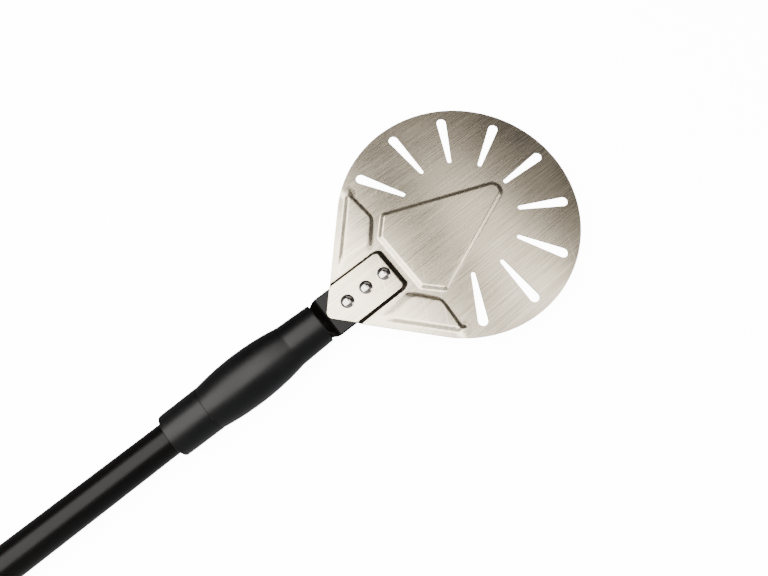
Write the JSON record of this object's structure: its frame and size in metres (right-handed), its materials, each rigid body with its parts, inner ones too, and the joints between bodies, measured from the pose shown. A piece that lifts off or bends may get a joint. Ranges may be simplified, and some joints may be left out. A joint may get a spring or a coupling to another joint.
{
  "type": "pizza peel",
  "caption": "Round perforated turning peel for a pizza oven, with a riveted tubular handle and a loose barrel grip that slides and turns on it.",
  "frame": {"origin": "centre of the round head on the flat underside of its sheet", "axes": "+X along the handle's length towards the far tip of the head; +Z towards the side with the rivet heads, square to the flat blade"},
  "size_m": [1.412, 0.23, 0.046],
  "materials": {
    "brushed_steel": "long brushed grain along the handle, light scratches",
    "rivet_steel": "bright domed steel",
    "black_tube": "black anodised aluminium, semi-gloss",
    "black_grip": "satin moulded polypropylene",
    "black_cap": "moulded nylon",
    "glide_nylon": "smooth nylon",
    "pin_steel": "drawn steel pin"
  },
  "bodies": {
    "handle": {"head_plate": "brushed_steel", "head_rivet_front": "rivet_steel", "head_rivet_middle": "rivet_steel", "head_rivet_rear": "rivet_steel", "handle_tube": "black_tube", "rear_grip": "black_grip", "end_cap": "black_cap", "end_cap_pin": "pin_steel"},
    "glide_rings": {"front_glide_ring": "glide_nylon", "rear_glide_ring": "glide_nylon"},
    "grip": {"sliding_grip": "black_grip"}
  },
  "joints": [
    {"name": "grip_slide", "type": "slide", "parent": "handle", "child": "glide_rings", "axis": [-1, 0, 0], "range_m": [0, 0.82]},
    {"name": "grip_turn", "type": "hinge", "parent": "glide_rings", "child": "grip", "pos_m": [-0.2315, 0, 0.0017], "axis": [1, 0, 0], "continuous": true}
  ]
}
